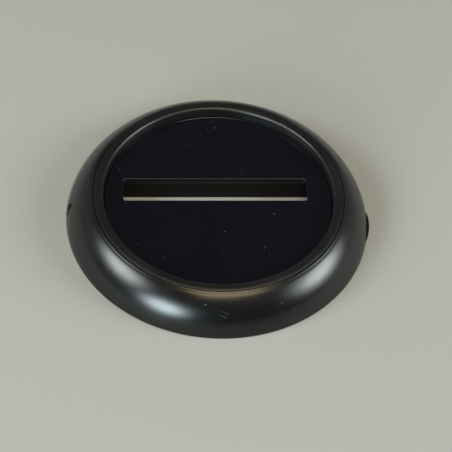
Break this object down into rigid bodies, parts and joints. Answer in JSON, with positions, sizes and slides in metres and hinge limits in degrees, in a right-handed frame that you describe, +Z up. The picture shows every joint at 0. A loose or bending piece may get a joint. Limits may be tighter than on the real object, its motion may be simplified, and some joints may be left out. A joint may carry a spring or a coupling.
{
  "type": "desk grommet",
  "caption": "Low round black plastic desk grommet: rounded trim ring, turning inner collar and a flat lift-out cap with a long cable slot.",
  "frame": {"origin": "centre of the foot, on the surface that the grommet stands on", "axes": "+Z up out of the desk, +X along the cable slot, +Y from the middle of the cap towards the slot"},
  "size_m": [0.0804, 0.08, 0.0104],
  "materials": {
    "ring_plastic": "black moulded plastic, satin gloss",
    "cap_plastic": "black moulded plastic, smooth and glossy, finely scuffed",
    "inner_plastic": "black moulded plastic, as moulded",
    "foam": "black closed-cell adhesive foam"
  },
  "bodies": {
    "base": {"trim_ring": "ring_plastic", "foam_ring": "foam"},
    "turning_ring": {"collar": "ring_plastic", "retaining_ring": "inner_plastic"},
    "lift_out_cap": {"cap": "cap_plastic", "slot_chute": "inner_plastic"}
  },
  "joints": [
    {"name": "collar_turn", "type": "hinge", "parent": "base", "child": "turning_ring", "pos_m": [0, 0, 0.0075], "axis": [0, 0, 1], "continuous": true},
    {"name": "cap_lift", "type": "slide", "parent": "turning_ring", "child": "lift_out_cap", "axis": [0, 0, 1], "range_m": [0, 0.03]}
  ]
}
